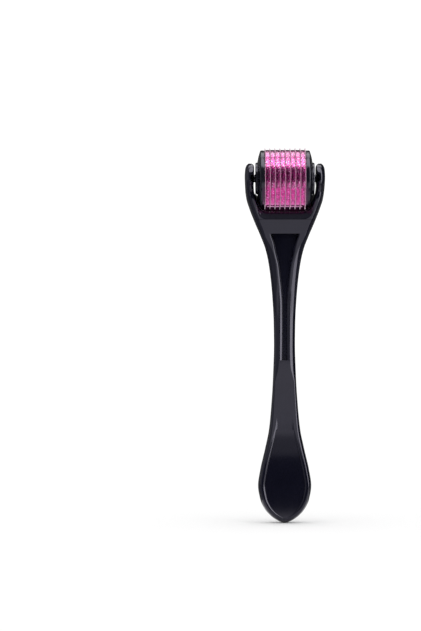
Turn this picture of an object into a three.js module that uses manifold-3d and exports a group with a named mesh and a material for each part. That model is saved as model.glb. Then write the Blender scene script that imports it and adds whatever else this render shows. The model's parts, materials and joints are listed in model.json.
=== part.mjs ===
// Derma roller: a moulded two-piece handle with a fork, and a snap-in roller of
// stainless needle discs and coloured spacer rings between two end caps.
// Millimetres. +Z runs up the handle to the roller, X is the axle, the front faces -Y,
// and the rounded tip of the handle is at the origin.
import * as THREE from 'three';
import { mergeVertices } from 'three/addons/utils/BufferGeometryUtils.js';
import Module from 'manifold-3d';

const wasm = await Module();
wasm.setup();

// ---- driving dimensions -------------------------------------------------------------
const AXLE_Z = 129.3; // height of the roller's axle above the tip
const ARM_TOP_Z = 135.0;
const EYE_RADIUS = 5.7; // the round end of each fork arm, seen from the side
const EYE_MIN_DEPTH = 0.45;
const WEB_FRONT = 8.3; // the web that joins the arms behind the roller: its front face
const WEB_TOP_Z = 120.5; // and its top edge, which rises towards the arms
const LIP_Z = 117; // top of the lip in front of the well under the roller
const LIP_DROP = 3.1; // the lip rolls down to the front over this height
const LIP_START = 1.7; // and over the depth from here
const LIP_FRONT = -1.2; // to here
const LIP_CORNER_Z = 125; // the lip's shape fades out up the arms at this height
const WEB_CORNER_Z = 127; // and the web's at this one
const ARM_EDGE_ROUND = 1.8;
const FORK_EDGE_ROUND = 1.3; // rounding of the arms' inner edges
const PLATE_BOTTOM_Z = 108.6; // lower edge of the flat plate under the fork
const GROOVE_END_Z = 61;
const GROOVE_DEEPEST = 3.7;
const GRIP_TOP_HALF = 0.9; // half width of the pointed top of the grip face
const BULB_Z = 14; // the widest part of the grip
const BULB_HALF = 10;
const WIDEST_SHARE = 0.42; // how far back from the front the section is widest
const BACK_FLAT_SHARE = 0.3;

const SEAM_GAP = 0.3; // between the two halves of the handle
const COVER_TOP_Z = 113.9;
const WALL = 1.8;
const CAVITY_LOW_Z = 5;
const CAVITY_HIGH_Z = 107;
const PEG_RADIUS = 1;
const PEG_HEIGHTS = [16, 42, 99];

const STUB_RADIUS = 1.4;
const STUB_END = 12.6; // from the middle to the end of a stub axle
const SEAT_RADIUS = 1.5;
const SEAT_START = 11;
const SEAT_END = 12.85;
const SLOT_HALF = 1.25; // the snap-in slot is a little narrower than the stub axle

const DISC_COUNT = 9;
const DISC_PITCH = 1.88;
const DISC_THICKNESS = 0.3;
const STACK_GAP = 0.15; // between a disc and the spacer beside it
const NEEDLES_PER_DISC = 60;
const NEEDLE_TIP_RADIUS = 11.7;
const NEEDLE_ROOT_RADIUS = 9.7;
const SPACER_RADIUS = 10.7;
const HEX_BORE = 4.3; // corner radius of the keyed hole in discs and spacers
const HEX_CORE = 4; // corner radius of the core they slide on
const CORE_HALF_LENGTH = 7.6;
const CORE_BORE = 2.75;
const SPIGOT_RADIUS = 2.45;
const CAP_INNER = 7.95; // from the middle to the inner face of an end cap
const CAP_RADIUS = 10.5;
const CAP_BOSS_RADIUS = 5.9;
const CAP_OUTER = 11.05;

// ---- outlines, each a few [height, value] stations -----------------------------------
const HALF_WIDTH = smoothLine([
  [0, 0.5], [0.4, 1.7], [1.2, 3.25], [2.7, 5.35], [5, 7.4], [8.7, 9.15], [BULB_Z, BULB_HALF],
  [20, 9.15], [27.5, 7.43], [35, 5.89], [42.5, 5.12], [54, 4.37], [67, 3.98], [76, 4.11],
  [85, 4.6], [92, 5.25], [98, 6.1], [103, 7.25], [108, 9.15], [113, 11.3], [118, 13.25],
  [122, 14.48], [126, 14.95], [130, 15.1], [132.5, 14.95], [134, 14.55], [ARM_TOP_Z, 13.6],
]);
const FRONT = smoothLine([
  [0, 2.6], [0.4, 0.9], [1.2, -0.45], [2.7, -0.95], [5, -1.1], [9, -1.1], [BULB_Z, -1.05],
  [22, -0.8], [30, -0.15], [36, 0.55], [42, 1.07], [52, 1.82], [62, 2.5], [74, 2.8], [86, 2.6],
  [97, 1.8], [104, 0.9], [PLATE_BOTTOM_Z, 0], [COVER_TOP_Z, -1.2], [118, -2.05], [123, -3],
  [ARM_TOP_Z, -3],
]);
const BACK = smoothLine([
  [0, 3.9], [0.4, 5], [1.2, 6.2], [2.7, 7.4], [5, 8.3], [9, 9], [BULB_Z, 9.3], [40, 9.3],
  [62, 9.5], [84, 9.9], [100, 9.9], [112, 9.9], [118, 9.9], [121, 9.6], [123.5, 8.6], [126, 7.2],
  [AXLE_Z, EYE_RADIUS],
]);
const PARTING = smoothLine([
  [0, 3.6], [BULB_Z, 3.5], [40, 4.3], [62, 5.4], [80, 5.8], [105, 5.4], [COVER_TOP_Z, 5],
]);
const SIDE_INSET = smoothLine([
  [0, 1.6], [30, 1.6], [46, 1.2], [62, 0.9], [90, 0.9], [100, 1.2], [106, 1.8], [114, 2.8],
  [ARM_TOP_Z, 2.8],
]);
const GROOVE_HALF = smoothLine([
  [0, 0.7], [82, 0.7], [87.4, 1], [92, 1.4], [96.8, 1.9], [101.5, 2.95], [105, 3.6],
  [PLATE_BOTTOM_Z, 4.6], [ARM_TOP_Z, 4.6],
]);
// depth of the flat face that is let into the grip, measured like FRONT
const GRIP_FACE = smoothLine([
  [0, -0.75], [3, -0.69], [BULB_Z, -0.45], [22, -0.19], [30, 0.21], [36, 0.62], [42, 1.07],
  [52, 1.82], [GROOVE_END_Z, 2.44],
]);
const RIDGE_SHARE = smoothLine([[53, 0], [60, 1], [100, 1], [107.5, 0]]);
// height of the well under the roller, from the lip back to the web
const WELL_FLOOR = smoothLine([
  [LIP_START, LIP_Z], [WEB_FRONT - 1, LIP_Z], [WEB_FRONT - 0.3, LIP_Z + 0.4],
  [WEB_FRONT, LIP_Z + 1.4], [WEB_FRONT + 0.2, WEB_TOP_Z], [12, WEB_TOP_Z],
]);
// half of the fork's opening, from the middle of its bottom up the inner side of an arm
const FORK_OUTLINE = [
  [0, LIP_Z], [3.2, LIP_Z], [6.3, LIP_Z], [8, 117.45], [9, 118.1], [9.65, 118.95], [10, 120],
  [10.35, 121.3], [10.75, 122.7], [11.4, 123.8], [11.65, 125.2], [11.75, 126.8], [11.6, 128.4],
  [11.6, 133.4], [11.9, 134.3], [12.5, 134.85], [13.4, 135.1], [13.4, 138],
];

// heights of the handle's cross-sections, and depths of the fork opening's outlines
const SECTION_HEIGHTS = [
  0, 0.4, 1.2, 2.7, 5, 8, 11, 14, 18, 22, 27, 32, 37, 42, 47, 52, 56, 59, 61, 61.1, 62.6, 66, 72,
  78, 84, 90, 95, 99, 102, 105, 107.5, 108.6, 108.8, 111, 114, 117, 120, 122, 123.6, 123.8,
  124.5, 125.6, 127.5, 129.3, 131, 132.5, 133.6, 134.4, 134.9,
];
const FORK_DEPTHS = [
  -8, -5.7, -5.2, -4.5, -3.4, -2.4, -1.2, -0.9, -0.3, 0.5, 1.7, 4.5, 7.3, 8, 8.3, 8.5, 9.2,
  9.8, 12,
];

const MATERIALS = {
  black: { color: 0x17171b, roughness: 0.24, metalness: 0 },
  magenta: { color: 0xc43c94, roughness: 0.32, metalness: 0.1 },
  steel: { color: 0xc9cdd2, roughness: 0.28, metalness: 1 },
};

// ---- helpers ---------------------------------------------------------------------------
// A curve through a few stations that never overshoots them (monotone cubic).
function smoothLine(stations) {
  const n = stations.length;
  const rise = [];
  for (let i = 0; i < n - 1; i++) {
    rise.push((stations[i + 1][1] - stations[i][1]) / (stations[i + 1][0] - stations[i][0]));
  }
  const slope = [rise[0]];
  for (let i = 1; i < n - 1; i++) {
    const turns = rise[i - 1] * rise[i] <= 0;
    slope.push(turns ? 0 : (2 * rise[i - 1] * rise[i]) / (rise[i - 1] + rise[i]));
  }
  slope.push(rise[n - 2]);
  return (at) => {
    if (at <= stations[0][0]) return stations[0][1];
    if (at >= stations[n - 1][0]) return stations[n - 1][1];
    let i = 0;
    while (at > stations[i + 1][0]) i++;
    const span = stations[i + 1][0] - stations[i][0];
    const t = (at - stations[i][0]) / span;
    const a = stations[i][1];
    const b = stations[i + 1][1];
    const bend = (1 - t) * slope[i] * span - t * slope[i + 1] * span;
    const ease = t * t * (3 - 2 * t);
    return a + (b - a) * ease + t * (1 - t) * bend;
  };
}

const mix = (a, b, share) => a + (b - a) * share;
const clamp = (value) => Math.min(1, Math.max(0, value));
const degrees = (angle) => (angle * Math.PI) / 180;

// Closed skin over rings of equal length; both ends are closed by a fan.
function loft(rings) {
  const count = rings[0].length;
  const middle = (ring) => {
    const sum = ring.reduce((s, p) => [s[0] + p[0], s[1] + p[1], s[2] + p[2]], [0, 0, 0]);
    return sum.map((v) => v / count);
  };
  const points = [...rings.flat(), middle(rings[0]), middle(rings[rings.length - 1])];
  const low = rings.length * count;
  const high = low + 1;
  const faces = [];
  for (let j = 0; j < count; j++) {
    const k = (j + 1) % count;
    faces.push([low, k, j]);
    const top = (rings.length - 1) * count;
    faces.push([high, top + j, top + k]);
    for (let i = 0; i < rings.length - 1; i++) {
      const a = i * count;
      const b = a + count;
      faces.push([a + j, a + k, b + k], [a + j, b + k, b + j]);
    }
  }
  const geometry = new THREE.BufferGeometry();
  geometry.setAttribute('position', new THREE.Float32BufferAttribute(points.flat(), 3));
  geometry.setIndex(faces.flat());
  return geometry;
}

function solid(geometry) {
  const bare = geometry.clone();
  bare.deleteAttribute('normal');
  bare.deleteAttribute('uv');
  const merged = mergeVertices(bare, 1e-5);
  const index = Uint32Array.from(merged.index.array);
  const build = (triVerts) => new wasm.Manifold(new wasm.Mesh({
    numProp: 3,
    vertProperties: Float32Array.from(merged.attributes.position.array),
    triVerts,
  }));
  const made = build(index);
  if (made.volume() > 0) return made;
  for (let i = 0; i < index.length; i += 3) {
    [index[i + 1], index[i + 2]] = [index[i + 2], index[i + 1]];
  }
  return build(index);
}

function named(name, shape, look) {
  const mesh = shape.getMesh();
  const geometry = new THREE.BufferGeometry();
  geometry.setAttribute('position', new THREE.BufferAttribute(mesh.vertProperties, 3));
  geometry.setIndex(new THREE.BufferAttribute(mesh.triVerts, 1));
  const flat = geometry.toNonIndexed();
  flat.computeVertexNormals();
  const node = new THREE.Mesh(flat, new THREE.MeshStandardMaterial(MATERIALS[look]));
  node.name = name;
  return node;
}

// A profile of [x, radius] points turned round the axle.
function turned(profile, segments) {
  const points = profile.map(([x, radius]) => new THREE.Vector2(radius, x));
  const geometry = new THREE.LatheGeometry(points, segments);
  geometry.rotateZ(-Math.PI / 2);
  geometry.translate(0, 0, AXLE_Z);
  return solid(geometry);
}

function polygon(radius, sides, turn = 0) {
  const points = [];
  for (let i = 0; i < sides; i++) {
    const a = turn + (i / sides) * Math.PI * 2;
    points.push(new THREE.Vector2(Math.cos(a) * radius, Math.sin(a) * radius));
  }
  return points;
}

// A flat outline with a hole, made `length` long along the axle and centred on x.
function plate(outline, hole, length, x) {
  const shape = new THREE.Shape(outline);
  shape.holes.push(new THREE.Path(hole));
  const geometry = new THREE.ExtrudeGeometry(shape, { depth: length, bevelEnabled: false });
  geometry.translate(0, 0, -length / 2);
  geometry.rotateY(Math.PI / 2);
  geometry.translate(x, 0, AXLE_Z);
  return solid(geometry);
}

function peg(radius, z, yFrom, yTo) {
  const geometry = new THREE.CylinderGeometry(radius, radius, yTo - yFrom, 12);
  geometry.translate(0, (yFrom + yTo) / 2, z);
  return solid(geometry);
}

// ---- handle ------------------------------------------------------------------------------
// Where the face ends and the side begins to round away.
function faceHalf(z) {
  const inset = SIDE_INSET(z);
  if (z >= BULB_Z) return HALF_WIDTH(z) - inset;
  const drawnIn = BULB_Z - ((BULB_Z - z) * BULB_Z) / (BULB_Z - inset);
  return Math.max(0.3 * HALF_WIDTH(z), (HALF_WIDTH(drawnIn) * (BULB_HALF - inset)) / BULB_HALF);
}

function depthAt(z) {
  const eye = Math.sqrt(Math.max(0, EYE_RADIUS ** 2 - (z - AXLE_Z) ** 2));
  if (z > AXLE_Z) {
    const half = Math.max(EYE_MIN_DEPTH, eye);
    return { front: -half, back: half };
  }
  return { front: eye > 0 ? Math.min(FRONT(z), -eye) : FRONT(z), back: Math.max(BACK(z), eye) };
}

const inArms = (z) => clamp((z - 106) / 10);

function middleDepth(z) {
  const { front, back } = depthAt(z);
  return front + mix(WIDEST_SHARE, 0.5, inArms(z)) * (back - front);
}

// How far the middle of the front is sunk: the grip's flat face, and the groove above it.
function sunkDepth(z) {
  if (z <= GROOVE_END_Z) return Math.max(0, GRIP_FACE(z) - FRONT(z));
  return z <= PLATE_BOTTOM_Z ? GROOVE_DEEPEST - FRONT(z) : 0;
}

// One side of a cross-section, from the middle of the front round to the middle of the back:
// a sunk floor, a rounded wall up to the crest, the rounded side, then the back.
function halfSection(z) {
  const { front, back } = depthAt(z);
  const middle = middleDepth(z);
  const wide = HALF_WIDTH(z);
  const face = faceHalf(z);
  const ridge = RIDGE_SHARE(z);
  const inGroove = z > GROOVE_END_Z;
  const groove = inGroove ? GROOVE_HALF(z) : GRIP_TOP_HALF;
  const faceFloor = Math.max(0.6 * face, face - 1);
  const floorHalf = Math.min(inGroove ? groove : mix(faceFloor, groove, ridge), faceFloor);
  const depth = sunkDepth(z);
  const rim = mix(mix(face, wide, 0.2), wide - ARM_EDGE_ROUND, inArms(z));
  const ridgeCrest = groove + 0.42 * (face - groove) + 0.15;
  const wallTop = Math.min(floorHalf + 1.1, mix(rim, ridgeCrest, ridge) - 0.05);
  const crest = Math.max(wallTop + 0.05, mix(rim, ridgeCrest, ridge));

  const points = [[0, front + depth], [floorHalf, front + depth]];
  for (const share of [0.2, 0.55]) {
    const drop = depth * (1 - Math.sqrt(1 - (1 - share) ** 2));
    points.push([mix(floorHalf, wallTop, share), front + drop]);
  }
  points.push([wallTop, front]);
  for (const angle of [0, 30, 55, 75, 90]) {
    const a = degrees(angle);
    points.push([crest + (wide - crest) * Math.sin(a), middle - (middle - front) * Math.cos(a)]);
  }
  const backFlat = mix(BACK_FLAT_SHARE * wide, wide - ARM_EDGE_ROUND, inArms(z));
  for (const angle of [30, 60, 90]) {
    const a = degrees(angle);
    points.push([backFlat + (wide - backFlat) * Math.cos(a), middle + (back - middle) * Math.sin(a)]);
  }
  points.push([0, back]);
  return points;
}

function section(z) {
  const half = halfSection(z);
  const other = half.slice(1, -1).reverse().map(([x, y]) => [-x, y]);
  return [...half, ...other].map(([x, y]) => [x, y, z]);
}

function heightsBetween(low, high) {
  return [low, ...SECTION_HEIGHTS.filter((z) => z > low + 0.3 && z < high - 0.3), high];
}

// Everything in front of the parting surface, up to the given height.
function frontHalf(gap) {
  return solid(loft(heightsBetween(-1, COVER_TOP_Z + gap).map((z) => {
    const parting = PARTING(z) + gap;
    return [[-20, -20, z], [20, -20, z], [20, parting, z], [-20, parting, z]];
  })));
}

const cavityFront = (z) => {
  const plain = FRONT(z) + WALL + 0.3;
  return z > GROOVE_END_Z - 2 ? Math.max(plain, GROOVE_DEEPEST + 1.2) : plain;
};
const cavityBack = (z) => BACK(z) - WALL;

function cavity() {
  return solid(loft(heightsBetween(CAVITY_LOW_Z, CAVITY_HIGH_Z).map((z) => {
    const half = HALF_WIDTH(z) - WALL - 0.2;
    const middle = Math.max(middleDepth(z), cavityFront(z) + 0.6);
    const low = cavityFront(z);
    const high = cavityBack(z);
    const side = [[0.6 * half, low], [half, mix(low, middle, 0.7)], [half, mix(middle, high, 0.3)],
      [0.5 * half, high]];
    const other = [...side].reverse().map(([x, y]) => [-x, y]);
    return [...side, ...other].map(([x, y]) => [x, y, z]);
  })));
}

// Rounding of an edge: 0 on the flat, 1 at the very edge.
const roundOff = (share) => 1 - Math.sqrt(1 - clamp(share) ** 2);

// The opening of the fork, with rounded edges; its bottom is the well under the roller.
function forkOpening() {
  return solid(loft(FORK_DEPTHS.map((y) => {
    const lip = LIP_Z - LIP_DROP * roundOff((LIP_START - y) / (LIP_START - LIP_FRONT));
    const bottom = y < LIP_START ? lip : WELL_FLOOR(y);
    const side = FORK_OUTLINE.map(([x, z]) => {
      const { front, back } = depthAt(Math.min(z, AXLE_Z));
      const flare = roundOff((front + 2.2 - y) / 2.2) + 0.6 * roundOff((y - back + 1.6) / 1.6);
      const cornerTop = bottom > LIP_Z ? WEB_CORNER_Z : LIP_CORNER_Z;
      const lift = (bottom - LIP_Z) * clamp((cornerTop - z) / 8);
      return [x > 6.4 ? x + FORK_EDGE_ROUND * flare : x, z + lift];
    });
    const other = side.slice(1).reverse().map(([x, z]) => [-x, z]);
    return [...side, ...other].map(([x, z]) => [x, y, z]);
  })));
}

// The seat of a stub axle in one fork arm, with the slot it is snapped in through.
function seat(side) {
  const profile = [
    [SEAT_START, 0], [SEAT_START, SEAT_RADIUS], [SEAT_END, SEAT_RADIUS], [SEAT_END, 0],
  ];
  const round = turned(profile.map(([x, radius]) => [side * x, radius]), 20);
  const slot = new THREE.BoxGeometry(SEAT_END - SEAT_START, 8, 2 * SLOT_HALF);
  slot.translate((side * (SEAT_END + SEAT_START)) / 2, -4, AXLE_Z);
  return round.add(solid(slot));
}

function handleBody(outer) {
  let body = outer.subtract(forkOpening()).subtract(frontHalf(SEAM_GAP)).subtract(cavity());
  for (const z of PEG_HEIGHTS) {
    const low = PARTING(z) + 0.8;
    body = body.add(peg(PEG_RADIUS + 1, z, low, cavityBack(z) + 0.4));
    body = body.subtract(peg(PEG_RADIUS + 0.3, z, low - 1, low + 2));
  }
  return body.subtract(seat(1)).subtract(seat(-1));
}

function frontCover(outer) {
  let cover = outer.intersect(frontHalf(0)).subtract(cavity());
  for (const z of PEG_HEIGHTS) {
    cover = cover.add(peg(PEG_RADIUS, z, cavityFront(z) - 0.6, PARTING(z) + 2.5));
  }
  return cover;
}

// ---- roller --------------------------------------------------------------------------------
function needleDisc(index) {
  const outline = [];
  for (let i = 0; i < NEEDLES_PER_DISC; i++) {
    const a = (i / NEEDLES_PER_DISC) * Math.PI * 2;
    const half = Math.PI / NEEDLES_PER_DISC;
    const at = (radius, angle) => (
      new THREE.Vector2(Math.cos(angle) * radius, Math.sin(angle) * radius)
    );
    outline.push(at(NEEDLE_TIP_RADIUS, a), at(NEEDLE_ROOT_RADIUS, a + half));
  }
  const x = (index - (DISC_COUNT - 1) / 2) * DISC_PITCH;
  return plate(outline, polygon(HEX_BORE, 6), DISC_THICKNESS, x);
}

function spacerRing(index) {
  const x = (index - (DISC_COUNT - 2) / 2) * DISC_PITCH;
  const length = DISC_PITCH - DISC_THICKNESS - 2 * STACK_GAP;
  return plate(polygon(SPACER_RADIUS, 36), polygon(HEX_BORE, 6), length, x);
}

function drumCore() {
  return plate(polygon(HEX_CORE, 6), polygon(CORE_BORE, 18), CORE_HALF_LENGTH * 2, 0);
}

// End cap with a rounded rim, a raised boss, a stub axle outside and a spigot inside.
function endCap(side) {
  const profile = [
    [4, 0], [4, SPIGOT_RADIUS], [CAP_INNER, SPIGOT_RADIUS], [CAP_INNER, 4.9], [8.9, 4.9],
    [8.9, 9.3], [CAP_INNER, 9.3], [CAP_INNER, CAP_RADIUS - 0.2], [8.2, CAP_RADIUS],
    [8.9, CAP_RADIUS], [9.3, CAP_RADIUS - 0.35], [9.95, 8.2], [10.3, CAP_BOSS_RADIUS + 0.1],
    [CAP_OUTER - 0.15, CAP_BOSS_RADIUS], [CAP_OUTER, CAP_BOSS_RADIUS - 0.3], [CAP_OUTER, 2],
    [11.3, STUB_RADIUS], [STUB_END - 0.2, STUB_RADIUS], [STUB_END, STUB_RADIUS - 0.3],
    [STUB_END, 0],
  ];
  return turned(profile.map(([x, radius]) => [side * x, radius]), 28);
}

// ---- assembly --------------------------------------------------------------------------------
const outer = solid(loft(SECTION_HEIGHTS.map(section)));
const group = new THREE.Group();
group.name = 'derma_roller';
group.add(named('handle_body', handleBody(outer), 'black'));
group.add(named('front_cover', frontCover(outer), 'black'));
group.add(named('drum_core', drumCore(), 'black'));
group.add(named('end_cap_left', endCap(-1), 'black'));
group.add(named('end_cap_right', endCap(1), 'black'));
for (let i = 0; i < DISC_COUNT; i++) {
  group.add(named(`needle_disc_${i + 1}`, needleDisc(i), 'steel'));
}
for (let i = 0; i < DISC_COUNT - 1; i++) {
  group.add(named(`spacer_ring_${i + 1}`, spacerRing(i), 'magenta'));
}

export default group;
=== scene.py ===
"""Looks of the derma roller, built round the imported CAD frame.

Sizes are in millimetres, and mesh_object turns them into metres. +Z is up, X is the roller's
axle, and the front faces -Y.
"""
import json
import math

import bmesh
import bpy
import numpy as np
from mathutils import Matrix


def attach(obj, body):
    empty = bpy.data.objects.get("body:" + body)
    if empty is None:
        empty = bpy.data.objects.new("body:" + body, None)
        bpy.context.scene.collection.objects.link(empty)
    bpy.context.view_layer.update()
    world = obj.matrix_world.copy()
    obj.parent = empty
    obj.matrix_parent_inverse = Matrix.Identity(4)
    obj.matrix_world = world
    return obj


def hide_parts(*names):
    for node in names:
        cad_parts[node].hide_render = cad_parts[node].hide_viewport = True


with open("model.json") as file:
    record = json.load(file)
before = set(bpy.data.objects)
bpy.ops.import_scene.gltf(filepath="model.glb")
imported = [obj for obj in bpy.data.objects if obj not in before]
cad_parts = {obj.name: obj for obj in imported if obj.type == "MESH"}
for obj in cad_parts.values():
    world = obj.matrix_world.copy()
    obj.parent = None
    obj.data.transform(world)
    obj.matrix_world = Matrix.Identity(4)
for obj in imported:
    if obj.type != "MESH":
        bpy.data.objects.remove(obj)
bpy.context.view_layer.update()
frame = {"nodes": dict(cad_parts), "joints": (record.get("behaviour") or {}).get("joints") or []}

MM = 0.001

# ---- camera ---------------------------------------------------------------------------
CAMERA_PLACE = (-0.0279, -1.0, 0.0779)  # metres; level, and a little left of the object
LENS = 152.1  # a long lens, which leaves the view nearly free of perspective

camera_data = bpy.data.cameras.new("camera")
camera_data.lens = LENS
camera_data.sensor_width = 36
camera_data.clip_start = 0.05
camera_data.clip_end = 20
camera = bpy.data.objects.new("camera", camera_data)
camera.location = CAMERA_PLACE
camera.rotation_euler = (math.pi / 2, 0, 0)
bpy.context.collection.objects.link(camera)
bpy.context.scene.camera = camera

# ---- sizes, in millimetres --------------------------------------------------------------
joint = next(j for j in frame["joints"] if j["name"] == "roller_spin")
AXLE_Z = joint["pos_m"][2] / MM
ARM_TOP_Z = 135
EYE_RADIUS = 5.7  # the round end of each fork arm, seen from the side
EYE_MIN_DEPTH = 0.45  # least half depth, at the very top of an arm
WEB_FRONT = 8.3  # the web that joins the arms behind the roller: its front face
WEB_TOP_Z = 120.5  # and its top edge, which rises towards the arms
LIP_Z = 117  # top of the lip in front of the well under the roller
LIP_DROP = 3.1  # the lip rolls down to the front over this height
LIP_START = 1.7  # and over the depth from here
LIP_FRONT = -1.2  # to here
LIP_CORNER_Z = 125  # the lip's shape fades out up the arms at this height
WEB_CORNER_Z = 127  # and the web's at this one
ARMS_START_Z = 106  # the section changes from neck to fork arm between here
ARMS_FULL_Z = 116  # and here
ARM_EDGE_ROUND = 1.8
FORK_EDGE_ROUND = 1.3  # rounding of the arms' inner edges: how far it spreads sideways
FORK_FRONT_FLARE = 2.2  # its depth at the front edges
FORK_BACK_FLARE = 1.6  # and at the back edges
FORK_BACK_SHARE = 0.6  # and its share of the sideways spread there
FORK_LIFT_FADE = 8  # the lip's and the web's shapes fade out over this height
FORK_FRONT_Y = -8  # cuts into the fork start clear of its front
FORK_BACK_Y = 12  # and end clear of its back
PLATE_BOTTOM_Z = 108.6  # lower edge of the flat plate under the fork
GROOVE_END_Z = 61  # the groove between the ridges runs down to the grip face
GROOVE_DEEPEST = 3.7  # depth of the groove's floor, measured like FRONT
GRIP_TOP_HALF = 0.9  # half width of the pointed top of the grip face
BULB_Z = 14  # the widest part of the grip
BULB_HALF = 10
WIDEST_SHARE = 0.42  # how far back from the front the section is widest
BACK_FLAT_SHARE = 0.3  # share of the width that is flat at the back, below the arms
SEAM_GAP = 0.1  # between the two halves of the handle; the CAD keeps a wider one
TONGUE_INSET = 1.6  # the rear half's tongue inside the seam: how far in from the side
TONGUE_HEIGHT = 0.6  # and how far it stands into the front half
COVER_TOP_Z = 113.9
OUTSIDE = 20  # further out than any side of the handle
SECTION_COUNT = 330  # evenly spaced cross-sections along the handle
VOXEL = 0.2  # remeshing step of the rounded rear half
SMOOTH_PASSES = 4
CRISP_ANGLE = 40  # edges sharper than this, in degrees, stay crisp

STUB_RADIUS = 1.4
STUB_END = 12.6  # from the middle to the end of a stub axle
SEAT_RADIUS = 1.5
SEAT_START = 11
SEAT_END = 12.85
SLOT_HALF = 1.25  # the snap-in slot is a little narrower than the stub axle

CAP_INNER = 7.75  # from the middle to the inner face of an end cap
CAP_RADIUS = 10.5
CAP_RIM_X = 8.9  # where the cap's rim starts to round over
CAP_RIM_ROUND = 0.45
CAP_BOSS_RADIUS = 5.9
CAP_BOSS_X = 10.4  # foot of the boss
CAP_OUTER = 11.05  # face of the boss
CAP_SEGMENTS = 128  # steps round the axle
HOLE_SEGMENTS = 32

DISC_COUNT = 9
DISC_PITCH = 1.88
DISC_THICKNESS = 0.26  # room that a disc takes between two spacers; the CAD's gaps are closed
DISC_EDGE_HALF = 0.1
DISC_RADIUS = 10.78
NEEDLES_PER_DISC = 60
NEEDLE_HALF = 0.13  # half width of a needle at its root
NEEDLE_SLIM = 0.75  # share of that width left where the point starts
NEEDLE_ROOT = 0.3  # a needle starts this far inside the disc's edge
NEEDLE_POINT = 0.4  # length of its point
NEEDLE_TIP_RADIUS = 11.7
SPACER_RADIUS = 10.7
SPACER_EDGE = 0.12  # rounding of a spacer's edges
SPACER_GAP = 0.01  # between a spacer and the room of a disc
RING_SEGMENTS = 120
BORE = 4.3  # hole through discs and spacers


def smooth_line(stations):
    """A curve through a few [height, value] stations that never overshoots them."""
    at = np.array([s[0] for s in stations], float)
    value = np.array([s[1] for s in stations], float)
    rise = np.diff(value) / np.diff(at)
    slope = np.zeros(len(at))
    slope[0], slope[-1] = rise[0], rise[-1]
    for i in range(1, len(at) - 1):
        if rise[i - 1] * rise[i] > 0:
            slope[i] = 2 * rise[i - 1] * rise[i] / (rise[i - 1] + rise[i])

    def curve(z):
        z = min(max(z, at[0]), at[-1])
        i = min(int(np.searchsorted(at, z, side="right")) - 1, len(at) - 2)
        span = at[i + 1] - at[i]
        t = (z - at[i]) / span
        ease = t * t * (3 - 2 * t)
        bend = (1 - t) * slope[i] * span - t * slope[i + 1] * span
        return float(value[i] + (value[i + 1] - value[i]) * ease + t * (1 - t) * bend)

    return curve


# Outlines, each a few (height, value) stations in millimetres.
HALF_WIDTH = smooth_line([
    (0, 0.5), (0.4, 1.7), (1.2, 3.25), (2.7, 5.35), (5, 7.4), (8.7, 9.15), (BULB_Z, BULB_HALF),
    (20, 9.15), (27.5, 7.43), (35, 5.89), (42.5, 5.12), (54, 4.37), (67, 3.98), (76, 4.11),
    (85, 4.6), (92, 5.25), (98, 6.1), (103, 7.25), (108, 9.15), (113, 11.3), (118, 13.25),
    (122, 14.48), (126, 14.95), (130, 15.1), (132.5, 14.95), (134, 14.55), (ARM_TOP_Z, 13.6),
])
FRONT = smooth_line([
    (0, 2.6), (0.4, 0.9), (1.2, -0.45), (2.7, -0.95), (5, -1.1), (9, -1.1), (BULB_Z, -1.05),
    (22, -0.8), (30, -0.15), (36, 0.55), (42, 1.07), (52, 1.82), (62, 2.5), (74, 2.8),
    (86, 2.6), (97, 1.8), (104, 0.9), (PLATE_BOTTOM_Z, 0), (COVER_TOP_Z, -1.2), (118, -2.05),
    (123, -3), (ARM_TOP_Z, -3),
])
BACK = smooth_line([
    (0, 3.9), (0.4, 5), (1.2, 6.2), (2.7, 7.4), (5, 8.3), (9, 9), (BULB_Z, 9.3), (40, 9.3),
    (62, 9.5), (84, 9.9), (100, 9.9), (112, 9.9), (118, 9.9), (121, 9.6), (123.5, 8.6),
    (126, 7.2), (AXLE_Z, EYE_RADIUS),
])
# depth of the seam between the two halves
PARTING = smooth_line([
    (0, 3.6), (BULB_Z, 3.5), (40, 4.3), (62, 5.4), (80, 5.8), (105, 5.4), (COVER_TOP_Z, 5),
])
# width of the rounded side beside the face
SIDE_INSET = smooth_line([
    (0, 1.6), (30, 1.6), (46, 1.2), (62, 0.9), (90, 0.9), (100, 1.2), (106, 1.8), (114, 2.8),
    (ARM_TOP_Z, 2.8),
])
GROOVE_HALF = smooth_line([
    (0, 0.7), (82, 0.7), (87.4, 1), (92, 1.4), (96.8, 1.9), (101.5, 2.95), (105, 3.6),
    (PLATE_BOTTOM_Z, 4.6), (ARM_TOP_Z, 4.6),
])
# depth of the flat face that is let into the grip, measured like FRONT
GRIP_FACE = smooth_line([
    (0, -0.75), (3, -0.69), (BULB_Z, -0.45), (22, -0.19), (30, 0.21), (36, 0.62), (42, 1.07),
    (52, 1.82), (GROOVE_END_Z, 2.44),
])
# how far the front is drawn up into a ridge on each side of the groove: 0 not at all, 1 fully
RIDGE_SHARE = smooth_line([(53, 0), (60, 1), (100, 1), (107.5, 0)])
# height of the well under the roller, from the lip back to the web
WELL_FLOOR = smooth_line([
    (LIP_START, LIP_Z), (WEB_FRONT - 1, LIP_Z), (WEB_FRONT - 0.3, LIP_Z + 0.4),
    (WEB_FRONT, LIP_Z + 1.4), (WEB_FRONT + 0.2, WEB_TOP_Z), (12, WEB_TOP_Z),
])
# half of the fork's opening, from the middle of its bottom up the inner side of an arm
FORK_OUTLINE = [
    (0, LIP_Z), (3.2, LIP_Z), (6.3, LIP_Z), (8, 117.45), (9, 118.1), (9.65, 118.95), (10, 120),
    (10.35, 121.3), (10.75, 122.7), (11.4, 123.8), (11.65, 125.2), (11.75, 126.8), (11.6, 128.4),
    (11.6, 133.4), (11.9, 134.3), (12.5, 134.85), (13.4, 135.1), (13.4, 138),
]


def mix(a, b, share):
    """The number that lies this share of the way from a to b."""
    return a + (b - a) * share


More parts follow.
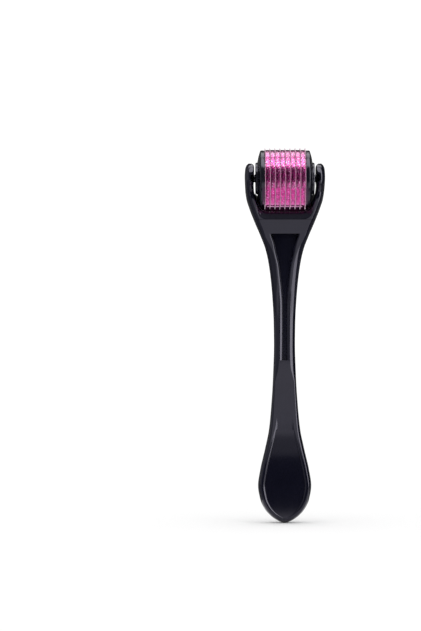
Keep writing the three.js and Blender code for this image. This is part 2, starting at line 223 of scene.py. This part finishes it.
def clamp(value):
    """The value, held between 0 and 1."""
    return min(1, max(0, value))


# ---- mesh helpers ---------------------------------------------------------------------
def mesh_object(name, points, faces):
    """Points in millimetres become an object in metres."""
    mesh = bpy.data.meshes.new(name)
    mesh.from_pydata([tuple(c * MM for c in p) for p in points], [], faces)
    mesh.validate()
    mesh.update()
    made = bpy.data.objects.new(name, mesh)
    bpy.context.collection.objects.link(made)
    return made


def outward(o):
    """Turns every face of a closed mesh outwards."""
    work = bmesh.new()
    work.from_mesh(o.data)
    bmesh.ops.recalc_face_normals(work, faces=work.faces)
    work.to_mesh(o.data)
    work.free()


def loft(name, rings):
    """A closed skin over rings of equal length, ends closed by fans."""
    count = len(rings[0])
    points = [p for ring in rings for p in ring]
    points += [np.mean(rings[0], axis=0), np.mean(rings[-1], axis=0)]
    low, high = len(points) - 2, len(points) - 1
    top = (len(rings) - 1) * count
    faces = []
    for j in range(count):
        k = (j + 1) % count
        faces.append((low, k, j))
        faces.append((high, top + j, top + k))
        for i in range(len(rings) - 1):
            a, b = i * count, (i + 1) * count
            faces.append((a + j, a + k, b + k, b + j))
    made = mesh_object(name, points, faces)
    outward(made)
    return made


def apply_modifiers(o):
    """Makes the result of the object's modifiers its own mesh."""
    bpy.context.view_layer.update()
    made = bpy.data.meshes.new_from_object(o.evaluated_get(bpy.context.evaluated_depsgraph_get()))
    o.modifiers.clear()
    old = o.data
    o.data = made
    bpy.data.meshes.remove(old)


def combine(o, other, operation):
    """Cuts or joins `other` into `o`, then removes `other`."""
    modifier = o.modifiers.new(operation, "BOOLEAN")
    modifier.operation = operation
    modifier.object = other
    modifier.solver = "MANIFOLD"
    apply_modifiers(o)
    bpy.data.objects.remove(other)


def shade(o, angle):
    """Smooth shading, with edges sharper than `angle` degrees kept crisp."""
    work = bmesh.new()
    work.from_mesh(o.data)
    for edge in work.edges:
        edge.smooth = len(edge.link_faces) == 2 and edge.calc_face_angle() < math.radians(angle)
    for face in work.faces:
        face.smooth = True
    work.to_mesh(o.data)
    work.free()


def rounded(o, voxel, passes):
    """Remeshes evenly and smooths, which rounds every edge like a moulding."""
    remesh = o.modifiers.new("even", "REMESH")
    remesh.mode = "VOXEL"
    remesh.voxel_size = voxel * MM
    remesh.use_smooth_shade = True
    smooth = o.modifiers.new("smooth", "SMOOTH")
    smooth.factor = 0.5
    smooth.iterations = passes
    apply_modifiers(o)
    for face in o.data.polygons:
        face.use_smooth = True


# ---- handle -----------------------------------------------------------------------------
def face_half(z):
    """Where the face ends and the side begins to round away."""
    inset = SIDE_INSET(z)
    if z >= BULB_Z:
        return HALF_WIDTH(z) - inset
    # below the bulb the face is the grip's outline made smaller by the inset
    drawn_in = BULB_Z - (BULB_Z - z) * BULB_Z / (BULB_Z - inset)
    return max(0.3 * HALF_WIDTH(z), HALF_WIDTH(drawn_in) * (BULB_HALF - inset) / BULB_HALF)


def depth_at(z):
    """Front and back of the handle; the top ends of the arms are round, seen from the side."""
    eye = math.sqrt(max(0, EYE_RADIUS ** 2 - (z - AXLE_Z) ** 2))
    if z > AXLE_Z:
        half = max(EYE_MIN_DEPTH, eye)
        return -half, half
    return (min(FRONT(z), -eye) if eye > 0 else FRONT(z)), max(BACK(z), eye)


def in_arms(z):
    """0 in the neck, 1 in the fork arms."""
    return clamp((z - ARMS_START_Z) / (ARMS_FULL_Z - ARMS_START_Z))


def middle_depth(z):
    """Depth at which the section is widest."""
    front, back = depth_at(z)
    return front + mix(WIDEST_SHARE, 0.5, in_arms(z)) * (back - front)


def sunk_depth(z):
    """How far the middle of the front is sunk: the grip's flat face, and the groove above it."""
    if z <= GROOVE_END_Z:
        return max(0, GRIP_FACE(z) - FRONT(z))
    return GROOVE_DEEPEST - FRONT(z) if z <= PLATE_BOTTOM_Z else 0


def half_section(z):
    """One side of a cross-section, from the middle of the front round to the back."""
    front, back = depth_at(z)
    middle = middle_depth(z)
    wide = HALF_WIDTH(z)
    face = face_half(z)
    ridge = RIDGE_SHARE(z)
    in_groove = z > GROOVE_END_Z
    groove = GROOVE_HALF(z) if in_groove else GRIP_TOP_HALF
    # half widths, from the middle out: the sunk floor, the top of its wall, the crest
    face_floor = max(0.6 * face, face - 1)
    floor_half = min(groove if in_groove else mix(face_floor, groove, ridge), face_floor)
    rim = mix(mix(face, wide, 0.2), wide - ARM_EDGE_ROUND, in_arms(z))
    ridge_crest = groove + 0.42 * (face - groove) + 0.15
    wall_top = min(floor_half + 1.1, mix(rim, ridge_crest, ridge) - 0.05)
    crest = max(wall_top + 0.05, mix(rim, ridge_crest, ridge))
    depth = sunk_depth(z)

    points = [(share * floor_half, front + depth) for share in np.linspace(0, 1, 6)]
    for share in np.linspace(0.02, 0.95, 14):
        drop = depth * (1 - math.sqrt(1 - (1 - share) ** 2))
        points.append((mix(floor_half, wall_top, share), front + drop))
    points.append((wall_top, front))
    for angle in np.linspace(0, math.pi / 2, 26):
        points.append((crest + (wide - crest) * math.sin(angle),
                       middle - (middle - front) * math.cos(angle)))
    back_flat = mix(BACK_FLAT_SHARE * wide, wide - ARM_EDGE_ROUND, in_arms(z))
    for angle in np.linspace(0.1, math.pi / 2, 18):
        points.append((back_flat + (wide - back_flat) * math.cos(angle),
                       middle + (back - middle) * math.sin(angle)))
    points.append((0, back))
    return points


def section(z):
    """A whole cross-section, as a closed loop of points at height z."""
    half = half_section(z)
    other = [(-x, y) for x, y in reversed(half[1:-1])]
    return [(x, y, z) for x, y in half + other]


def handle_solid(name):
    """The whole handle before it is cut, with closer sections at its ends and steps."""
    heights = set(np.linspace(0, ARM_TOP_Z - 0.05, SECTION_COUNT).tolist())
    heights |= {0.1, 0.2, 0.3, 0.6, 0.9, 1.3}
    heights |= {ARM_TOP_Z - 0.4, ARM_TOP_Z - 0.25, ARM_TOP_Z - 0.1}
    heights |= {PLATE_BOTTOM_Z, PLATE_BOTTOM_Z + 0.05, GROOVE_END_Z, GROOVE_END_Z + 0.05}
    return loft(name, [section(z) for z in sorted(heights)])


def front_half(name, gap):
    """Everything in front of the parting surface, up to the top edge of the front cover.

    A tongue of the rear half stands into the front half, so no light passes the seam.
    """
    rings = []
    for z in [-1, *np.linspace(0, COVER_TOP_Z + gap, 120)]:
        parting = PARTING(z) + gap
        inner = max(0.1, HALF_WIDTH(z) - TONGUE_INSET)
        rings.append([(-OUTSIDE, -OUTSIDE, z), (OUTSIDE, -OUTSIDE, z), (OUTSIDE, parting, z),
                      (inner, parting, z), (inner, parting - TONGUE_HEIGHT, z),
                      (-inner, parting - TONGUE_HEIGHT, z), (-inner, parting, z),
                      (-OUTSIDE, parting, z)])
    return loft(name, rings)


def round_off(share):
    """Rounding of an edge: 0 on the flat, 1 at the very edge."""
    return 1 - math.sqrt(1 - clamp(share) ** 2)


def smooth_outline(points, steps):
    """A smooth curve through the points (Catmull-Rom)."""
    made = []
    for i in range(len(points) - 1):
        p = [np.array(points[min(max(i + k, 0), len(points) - 1)], float) for k in (-1, 0, 1, 2)]
        for t in np.linspace(0, 1, steps, endpoint=False):
            made.append(tuple(0.5 * (2 * p[1] + (p[2] - p[0]) * t
                                     + (2 * p[0] - 5 * p[1] + 4 * p[2] - p[3]) * t ** 2
                                     + (3 * p[1] - p[0] - 3 * p[2] + p[3]) * t ** 3)))
    return made + [points[-1]]


def fork_opening(name):
    """The opening of the fork, with rounded edges; its bottom is the well under the roller."""
    outline = smooth_outline(FORK_OUTLINE, 5)
    rings = []
    for y in [FORK_FRONT_Y, *np.linspace(-5.8, 10, 140), FORK_BACK_Y]:
        lip = LIP_Z - LIP_DROP * round_off((LIP_START - y) / (LIP_START - LIP_FRONT))
        bottom = lip if y < LIP_START else WELL_FLOOR(y)
        side = []
        for x, z in outline:
            front, back = depth_at(min(z, AXLE_Z))
            flare = round_off((front + FORK_FRONT_FLARE - y) / FORK_FRONT_FLARE)
            flare += FORK_BACK_SHARE * round_off((y - back + FORK_BACK_FLARE) / FORK_BACK_FLARE)
            flare *= FORK_EDGE_ROUND * clamp((x - 5) / 3)  # none in the middle of the lip
            corner_top = WEB_CORNER_Z if bottom > LIP_Z else LIP_CORNER_Z
            lift = (bottom - LIP_Z) * clamp((corner_top - z) / FORK_LIFT_FADE)
            side.append((x + flare, z + lift))
        full = side + [(-x, z) for x, z in reversed(side[1:])]
        rings.append([(x, y, z) for x, z in full])
    return loft(name, rings)


def turned(name, profile, segments):
    """A closed profile of (x, radius) points turned round the axle; it starts and ends on it."""
    points, faces = [], []
    inner = profile[1:-1]
    for i in range(segments):
        angle = 2 * math.pi * i / segments
        for x, radius in inner:
            points.append((x, radius * math.sin(angle), AXLE_Z + radius * math.cos(angle)))
    start, end = len(points), len(points) + 1
    points += [(profile[0][0], 0, AXLE_Z), (profile[-1][0], 0, AXLE_Z)]
    count = len(inner)
    for i in range(segments):
        a, b = i * count, ((i + 1) % segments) * count
        faces.append((start, b, a))
        faces.append((end, a + count - 1, b + count - 1))
        for j in range(count - 1):
            faces.append((a + j, b + j, b + j + 1, a + j + 1))
    made = mesh_object(name, points, faces)
    outward(made)
    return made


def cut_seats(body):
    """The seats of the stub axles in the arms, and the slots they are snapped in through."""
    for side in (1, -1):
        near, far = side * SEAT_START, side * SEAT_END
        hole = turned("hole", [(near, 0), (near, SEAT_RADIUS), (far, SEAT_RADIUS), (far, 0)],
                      HOLE_SEGMENTS)
        combine(body, hole, "DIFFERENCE")
        low, high = min(near, far), max(near, far)
        slot = loft("slot", [[(low, y, AXLE_Z - SLOT_HALF), (high, y, AXLE_Z - SLOT_HALF),
                              (high, y, AXLE_Z + SLOT_HALF), (low, y, AXLE_Z + SLOT_HALF)]
                             for y in (FORK_FRONT_Y, 0)])
        combine(body, slot, "DIFFERENCE")


def make_handle():
    """The rear half with the fork, rounded like a moulding, and the crisp front half."""
    cover = handle_solid("grip_cover")
    body = cover.copy()
    body.data = cover.data.copy()
    body.name = "handle_shell"
    bpy.context.collection.objects.link(body)

    combine(body, fork_opening("opening"), "DIFFERENCE")
    cut_seats(body)
    rounded(body, VOXEL, SMOOTH_PASSES)
    combine(body, front_half("front", SEAM_GAP), "DIFFERENCE")
    shade(body, CRISP_ANGLE)

    combine(cover, front_half("front", 0), "INTERSECT")
    shade(cover, CRISP_ANGLE)
    return body, cover


# ---- roller -------------------------------------------------------------------------------
def make_cap(name, side):
    """An end cap: rounded rim, sloping face, raised boss and stub axle."""
    profile = [
        (CAP_INNER, 0), (CAP_INNER, CAP_RADIUS - 0.15), (CAP_INNER + 0.05, CAP_RADIUS - 0.05),
        (CAP_INNER + 0.2, CAP_RADIUS), (CAP_RIM_X, CAP_RADIUS),
    ]
    for angle in np.radians(np.linspace(10, 70, 6)):
        profile.append((CAP_RIM_X + CAP_RIM_ROUND * math.sin(angle),
                        CAP_RADIUS - CAP_RIM_ROUND + CAP_RIM_ROUND * math.cos(angle)))
    # the face slopes in to the foot of the boss
    profile += [(9.62, 9.3), (9.93, 8.2), (10.15, 7.2), (10.28, 6.3), (10.32, 6.02)]
    profile += [
        (CAP_BOSS_X, CAP_BOSS_RADIUS + 0.03), (CAP_OUTER - 0.14, CAP_BOSS_RADIUS),
        (CAP_OUTER - 0.04, CAP_BOSS_RADIUS - 0.07), (CAP_OUTER, CAP_BOSS_RADIUS - 0.2),
        (CAP_OUTER, STUB_RADIUS + 0.7), (CAP_OUTER + 0.04, STUB_RADIUS + 0.4),
        (CAP_OUTER + 0.11, STUB_RADIUS + 0.18), (CAP_OUTER + 0.3, STUB_RADIUS),
        (STUB_END - 0.2, STUB_RADIUS), (STUB_END - 0.06, STUB_RADIUS - 0.1),
        (STUB_END, STUB_RADIUS - 0.3), (STUB_END, 0),
    ]
    made = turned(name, [(side * x, radius) for x, radius in profile], CAP_SEGMENTS)
    shade(made, CRISP_ANGLE)
    return made


def ring(profile, x, segments):
    """Points and faces of a closed (x, radius) loop turned round the axle: a ring with a hole."""
    points, faces = [], []
    count = len(profile)
    for i in range(segments):
        angle = 2 * math.pi * i / segments
        for dx, radius in profile:
            points.append((x + dx, radius * math.sin(angle), AXLE_Z + radius * math.cos(angle)))
    for i in range(segments):
        a, b = i * count, ((i + 1) % segments) * count
        for j in range(count):
            k = (j + 1) % count
            faces.append((a + j, b + j, b + k, a + k))
    return points, faces


def make_spacer(index):
    """A ring with rounded edges that fills the room between two discs."""
    x = (index - (DISC_COUNT - 2) / 2) * DISC_PITCH
    half = (DISC_PITCH - DISC_THICKNESS) / 2 - SPACER_GAP
    edge = SPACER_EDGE
    profile = [
        (-half, BORE), (half, BORE), (half, SPACER_RADIUS - edge),
        (half - edge * 0.3, SPACER_RADIUS - edge * 0.3), (half - edge, SPACER_RADIUS),
        (-half + edge, SPACER_RADIUS), (-half + edge * 0.3, SPACER_RADIUS - edge * 0.3),
        (-half, SPACER_RADIUS - edge),
    ]
    made = mesh_object(f"spacer_{index + 1}", *ring(profile, x, RING_SEGMENTS))
    outward(made)
    shade(made, 50)
    return made


def make_disc(index):
    """A thin disc with a crown of needles, each a slim four-sided spike."""
    x = (index - (DISC_COUNT - 1) / 2) * DISC_PITCH
    half = DISC_EDGE_HALF
    profile = [(-half, BORE), (half, BORE), (half, DISC_RADIUS), (-half, DISC_RADIUS)]
    points, faces = ring(profile, x, NEEDLES_PER_DISC * 4)
    for i in range(NEEDLES_PER_DISC):
        angle = 2 * math.pi * (i + 0.5) / NEEDLES_PER_DISC
        out = np.array([0, math.sin(angle), math.cos(angle)])
        along = np.array([0, math.cos(angle), -math.sin(angle)])
        centre = np.array([x, 0, AXLE_Z])
        first = len(points)
        for radius, share in ((DISC_RADIUS - NEEDLE_ROOT, 1.0),
                              (NEEDLE_TIP_RADIUS - NEEDLE_POINT, NEEDLE_SLIM)):
            for sx, sa in ((-1, 0), (0, -1), (1, 0), (0, 1)):
                points.append(centre + out * radius + along * sa * NEEDLE_HALF * share
                              + np.array([sx * NEEDLE_HALF * share, 0, 0]))
        points.append(centre + out * NEEDLE_TIP_RADIUS)
        faces.append((first + 3, first + 2, first + 1, first))
        for j in range(4):
            k = (j + 1) % 4
            faces.append((first + j, first + k, first + 4 + k, first + 4 + j))
            faces.append((first + 4 + j, first + 4 + k, first + 8))
    made = mesh_object(f"needles_{index + 1}", points, faces)
    outward(made)
    shade(made, 25)
    return made


# ---- materials --------------------------------------------------------------------------
class Look:
    """A Principled material whose colour, roughness and bump vary a little over the piece."""

    def __init__(self, name):
        self.material = bpy.data.materials.new(name)
        self.material.use_nodes = True
        self.nodes = self.material.node_tree.nodes
        self.links = self.material.node_tree.links
        self.shader = self.nodes["Principled BSDF"]
        self.place = self.nodes.new("ShaderNodeTexCoord").outputs["Object"]

    def noise(self, scale, detail=4.0):
        """Noise that stays fixed to the piece, mostly between 0.3 and 0.7."""
        node = self.nodes.new("ShaderNodeTexNoise")
        node.inputs["Scale"].default_value = scale
        node.inputs["Detail"].default_value = detail
        self.links.new(self.place, node.inputs["Vector"])
        return node.outputs["Fac"]

    def ramp(self, source, low, high, start=0.3, stop=0.7):
        """A colour from low to high while the source goes from start to stop."""
        node = self.nodes.new("ShaderNodeValToRGB")
        node.color_ramp.elements[0].position = start
        node.color_ramp.elements[1].position = stop
        node.color_ramp.elements[0].color = (*low, 1)
        node.color_ramp.elements[1].color = (*high, 1)
        self.links.new(source, node.inputs["Fac"])
        return node.outputs["Color"]

    def axle_distance(self):
        """Distance from the roller's axle, in metres."""
        offset = self.nodes.new("ShaderNodeVectorMath")
        offset.operation = "SUBTRACT"
        offset.inputs[1].default_value = (0, 0, AXLE_Z * MM)
        self.links.new(self.place, offset.inputs[0])
        across = self.nodes.new("ShaderNodeVectorMath")
        across.operation = "MULTIPLY"
        across.inputs[1].default_value = (0, 1, 1)
        self.links.new(offset.outputs["Vector"], across.inputs[0])
        length = self.nodes.new("ShaderNodeVectorMath")
        length.operation = "LENGTH"
        self.links.new(across.outputs["Vector"], length.inputs[0])
        return length.outputs["Value"]

    def blend(self, share, first, second):
        """The first colour where the share is 0, the second where it is 1."""
        node = self.nodes.new("ShaderNodeMix")
        node.data_type = "RGBA"
        self.links.new(share, node.inputs["Factor"])
        self.links.new(first, node.inputs["A"])
        self.links.new(second, node.inputs["B"])
        return node.outputs["Result"]

    def span(self, source, low, high, start=0.0, stop=1.0):
        """A number from low to high while the source goes from start to stop."""
        node = self.nodes.new("ShaderNodeMapRange")
        node.inputs["From Min"].default_value = start
        node.inputs["From Max"].default_value = stop
        node.inputs["To Min"].default_value = low
        node.inputs["To Max"].default_value = high
        self.links.new(source, node.inputs["Value"])
        return node.outputs["Result"]

    def bump(self, source, strength, distance):
        """Fine relief of the surface; the distance is in metres."""
        node = self.nodes.new("ShaderNodeBump")
        node.inputs["Strength"].default_value = strength
        node.inputs["Distance"].default_value = distance
        self.links.new(source, node.inputs["Height"])
        self.links.new(node.outputs["Normal"], self.shader.inputs["Normal"])

    def set(self, socket, value):
        """Links a node's output to the shader, or sets a plain value."""
        if hasattr(value, "is_linked"):
            self.links.new(value, self.shader.inputs[socket])
        else:
            self.shader.inputs[socket].default_value = value


PAINTED_BLUE_REFLECTION_TINT = (0.88, 0.85, 1.0, 1)  # painted reflection tint: the plastic mirrors a little more blue than red or green, standing for bluish room light


def black_plastic(name, low, high, rough_low, rough_high):
    """Glossy moulded plastic, faintly uneven in colour, polish and surface; painted blue reflection
    tint.
    """
    look = Look(name)
    # painted blue tint in the plastic's reflections, standing for bluish light in the room
    look.set("Specular Tint", PAINTED_BLUE_REFLECTION_TINT)
    look.set("Base Color", look.ramp(look.noise(90), low, high))
    look.set("Roughness", look.span(look.noise(260, 6), rough_low, rough_high))
    look.bump(look.noise(900, 2), 0.05, 0.00002)
    look.set("IOR", 1.5)
    return look.material


def magenta_sparkle(name):
    """Glossy rings with a fine metallic sparkle under a clear coat."""
    look = Look(name)
    deep = look.ramp(look.noise(2300, 6), (0.09, 0.002, 0.04), (0.53, 0.02, 0.26), 0.4, 0.62)
    pale = look.ramp(look.noise(1200), (0.8, 0.42, 0.7), (0.92, 0.6, 0.85))
    look.set("Base Color", look.blend(look.span(look.noise(3100, 2), 0, 1, 0.59, 0.67), deep, pale))
    look.set("Roughness", look.span(look.noise(1500, 3), 0.16, 0.3))
    look.set("Metallic", 0.88)
    look.set("Coat Weight", 1.0)
    look.set("Coat Roughness", 0.14)
    look.bump(look.noise(2600, 2), 1.0, 0.00004)
    return look.material


def steel(name):
    """Bright needles; the disc's edge is tinted pink, to stand for what it mirrors of the spacers."""
    look = Look(name)
    radius = look.axle_distance()
    edge = look.ramp(look.noise(1200), (0.55, 0.25, 0.4), (0.75, 0.4, 0.58))
    needle = look.ramp(look.noise(1200), (0.82, 0.76, 0.8), (0.94, 0.88, 0.92))
    look.set("Base Color", look.blend(look.span(radius, 0, 1, 10.8 * MM, 11.3 * MM), edge, needle))
    look.set("Roughness", look.span(look.noise(2500, 3), 0.18, 0.34))
    look.set("Metallic", 0.4)
    return look.material


def dress(o, material):
    """Gives the object this one material."""
    o.data.materials.clear()
    o.data.materials.append(material)


# ---- build ----------------------------------------------------------------------------------
HANDLE_BLACK = black_plastic("handle_black", (0.0035, 0.0036, 0.0085), (0.005, 0.0052, 0.0115),
                             0.08, 0.13)
CAP_BLACK = black_plastic("cap_black", (0.0035, 0.0036, 0.0075), (0.005, 0.0052, 0.010),
                          0.14, 0.22)
MAGENTA = magenta_sparkle("spacer_magenta")
STEEL = steel("needle_steel")

body, cover = make_handle()
dress(body, HANDLE_BLACK)
dress(cover, HANDLE_BLACK)
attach(body, "handle")
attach(cover, "handle")
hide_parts("handle_body")
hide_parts("front_cover")

for side, word in ((-1, "left"), (1, "right")):
    cap = make_cap(f"cap_{word}", side)
    dress(cap, CAP_BLACK)
    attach(cap, "roller")
    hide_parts(f"end_cap_{word}")

for index in range(DISC_COUNT):
    disc = make_disc(index)
    dress(disc, STEEL)
    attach(disc, "roller")
    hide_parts(f"needle_disc_{index + 1}")

for index in range(DISC_COUNT - 1):
    spacer = make_spacer(index)
    dress(spacer, MAGENTA)
    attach(spacer, "roller")
    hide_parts(f"spacer_ring_{index + 1}")

dress(frame["nodes"]["drum_core"], CAP_BLACK)

# ---- studio --------------------------------------------------------------------------------
def glow(name, colour, strength):
    """A material that only gives light."""
    material = bpy.data.materials.new(name)
    material.use_nodes = True
    nodes = material.node_tree.nodes
    nodes.clear()
    emission = nodes.new("ShaderNodeEmission")
    emission.inputs["Color"].default_value = (*colour, 1)
    emission.inputs["Strength"].default_value = strength
    out = nodes.new("ShaderNodeOutputMaterial")
    material.node_tree.links.new(emission.outputs[0], out.inputs["Surface"])
    return material


CARD_DISTANCE = 1800
CARD_CENTRE_Z = 80
CARD_STEPS = 10
WHITE = (1, 1, 1)


def reflection_only(made, radiance, colour=WHITE):
    """A card that glows evenly and shows in reflections only."""
    dress(made, glow(made.name, colour, radiance))
    made.visible_camera = False
    made.visible_diffuse = False
    made.visible_shadow = False


def card(name, azimuths, elevations, radiance):
    """A studio card bent round the object between two azimuths and two elevations, in degrees.

    Azimuth 0 is the camera's side (-Y) and grows towards +X.
    """
    points, faces = [], []
    for e in np.radians(np.linspace(*elevations, CARD_STEPS)):
        for a in np.radians(np.linspace(*azimuths, CARD_STEPS)):
            points.append((CARD_DISTANCE * math.sin(a) * math.cos(e),
                           -CARD_DISTANCE * math.cos(a) * math.cos(e),
                           CARD_DISTANCE * math.sin(e) + CARD_CENTRE_Z))
    for i in range(CARD_STEPS - 1):
        for j in range(CARD_STEPS - 1):
            first = i * CARD_STEPS + j
            faces.append((first, first + 1, first + CARD_STEPS + 1, first + CARD_STEPS))
    reflection_only(mesh_object(name, points, faces), radiance)


def flat_card(name, corners, radiance, colour=WHITE):
    """A flat card close to the object."""
    reflection_only(mesh_object(name, corners, [(0, 1, 2, 3)]), radiance, colour)


def upright(y, half_width, low, high):
    """Corners of an upright card at depth y, between two heights."""
    return [(-half_width, y, low), (half_width, y, low), (half_width, y, high),
            (-half_width, y, high)]


def lying(left, right, near, far, z):
    """Corners of a card that lies level at height z."""
    return [(left, near, z), (right, near, z), (right, far, z), (left, far, z)]


world = bpy.data.worlds.new("studio")
bpy.context.scene.world = world
world.use_nodes = True
background = world.node_tree.nodes["Background"]
background.inputs["Color"].default_value = (*WHITE, 1)
background.inputs["Strength"].default_value = 1.1

FLOOR_HALF = 4000
FLOOR_Z = -0.02  # a hair under the tip of the handle

floor = mesh_object("floor", lying(-FLOOR_HALF, FLOOR_HALF, -FLOOR_HALF, FLOOR_HALF, FLOOR_Z),
                    [(0, 1, 2, 3)])
floor_look = Look("floor")
floor_look.set("Base Color", floor_look.ramp(floor_look.noise(3), (0.93, 0.93, 0.93),
                                             (0.95, 0.95, 0.95)))
floor_look.set("Roughness", 1.0)
floor_look.set("Specular IOR Level", 0.0)
dress(floor, floor_look.material)

# The room that the object mirrors: azimuths, elevations, radiance.
card("camera_side_dark", (-11, 11), (-5, 3.5), 0.0)
card("right_softbox", (12, 78), (-8, 50), 5.0)
card("right_flag", (80, 150), (-8, 60), 0.0)
card("left_card", (-130, -13), (-8, 45), 0.35)
card("back_card", (150, 230), (-8, 60), 0.12)
card("top_softbox", (-65, 65), (48, 88), 4.6)
card("top_back_card", (-65, 65), (88, 130), 3.3)
# Dark boards before the object: they keep the drum's middle and the grip's bulb dark.
BOARD_Y = -100
flat_card("drum_dark", upright(BOARD_Y, 70, 96.5, 222), 0.0)
flat_card("grip_dark", upright(BOARD_Y, 50, 0.5, 30), 0.0)
flat_card("grip_dim", upright(BOARD_Y, 50, 30, 43), 0.4)
# These lighten the bottom of the drum, as light thrown back by the well under it might. The last
# is dim and lies beneath the others, so the lip hardly mirrors them.
PINK = (1, 0.5, 0.85)
flat_card("bounce", lying(-8, 8, -20, -4, 116.8), 1.5, PINK)
flat_card("bounce_near", lying(-8, 8, -4, -0.8, 116.8), 1.5, PINK)
flat_card("bounce_deep", lying(-8, 8, 2.4, 6.5, 117.05), 1.6, PINK)
flat_card("bounce_back", lying(-8.2, 8.2, -20, -0.6, 116.65), 0.25)
# Parts of the table top, as the glossy sides and ridges mirror them.
TABLE_Z = 0.5  # just over the floor
flat_card("floor_right", lying(120, 2000, -1000, -120, TABLE_Z), 3.5)
flat_card("floor_far_right", lying(120, 2000, -120, 30, TABLE_Z), 0.1)
flat_card("floor_left", lying(-2000, -30, -600, 30, TABLE_Z), 0.3)
flat_card("floor_back", lying(-2000, 2000, 30, 2000, TABLE_Z), 0.1)

bpy.context.scene.view_settings.view_transform = "Standard"
